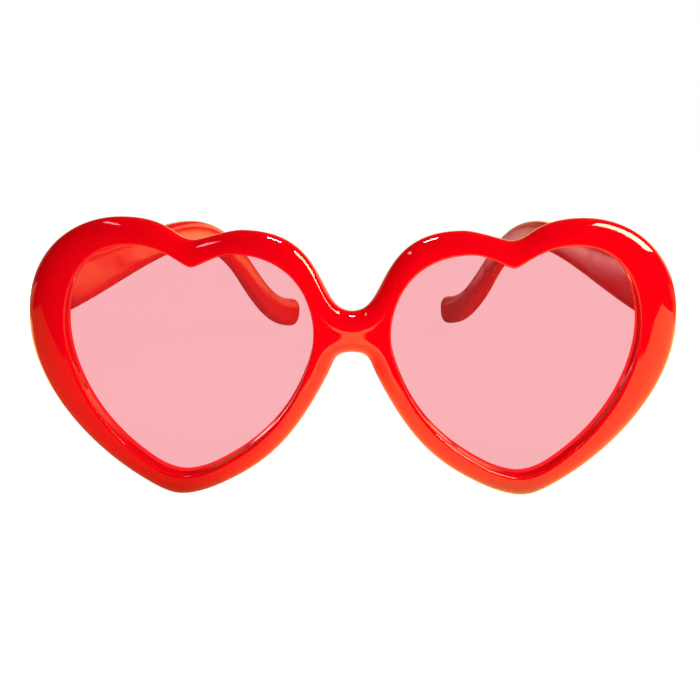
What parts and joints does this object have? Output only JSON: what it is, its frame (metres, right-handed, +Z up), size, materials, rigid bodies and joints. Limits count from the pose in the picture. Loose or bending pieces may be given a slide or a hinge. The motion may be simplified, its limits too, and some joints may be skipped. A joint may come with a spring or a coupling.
{
  "type": "heart shaped sunglasses",
  "caption": "Glossy red heart shaped sunglasses with tinted heart lenses, a short arched bridge and two temples that fold inwards on screw hinges.",
  "frame": {"origin": "on the table, in the middle of the width and of the depth", "axes": "+X towards the wearer's left side, +Y from the front back along the temples, +Z up"},
  "size_m": [0.1504, 0.1498, 0.0665],
  "materials": {
    "red_plastic": "polished injection moulded plastic, bright red",
    "tinted_lens": "smooth plastic lens with a pale pink tint",
    "hinge_steel": "nickel plated steel"
  },
  "bodies": {
    "front": {"front_frame": "red_plastic", "lens_left": "tinted_lens", "lens_right": "tinted_lens", "front_hinge_left": "hinge_steel", "front_hinge_right": "hinge_steel", "hinge_screw_left": "hinge_steel", "hinge_screw_right": "hinge_steel"},
    "temple_left": {"temple_left": "red_plastic", "temple_hinge_left": "hinge_steel"},
    "temple_right": {"temple_right": "red_plastic", "temple_hinge_right": "hinge_steel"}
  },
  "joints": [
    {"name": "temple_left_fold", "type": "hinge", "parent": "front", "child": "temple_left", "pos_m": [0.0699, -0.05786, 0.0473], "axis": [0, 0, 1], "range_deg": [-12.1, 67.4]},
    {"name": "temple_right_fold", "type": "hinge", "parent": "front", "child": "temple_right", "pos_m": [-0.0699, -0.05786, 0.0473], "axis": [0, 0, -1], "range_deg": [-18, 69]}
  ]
}
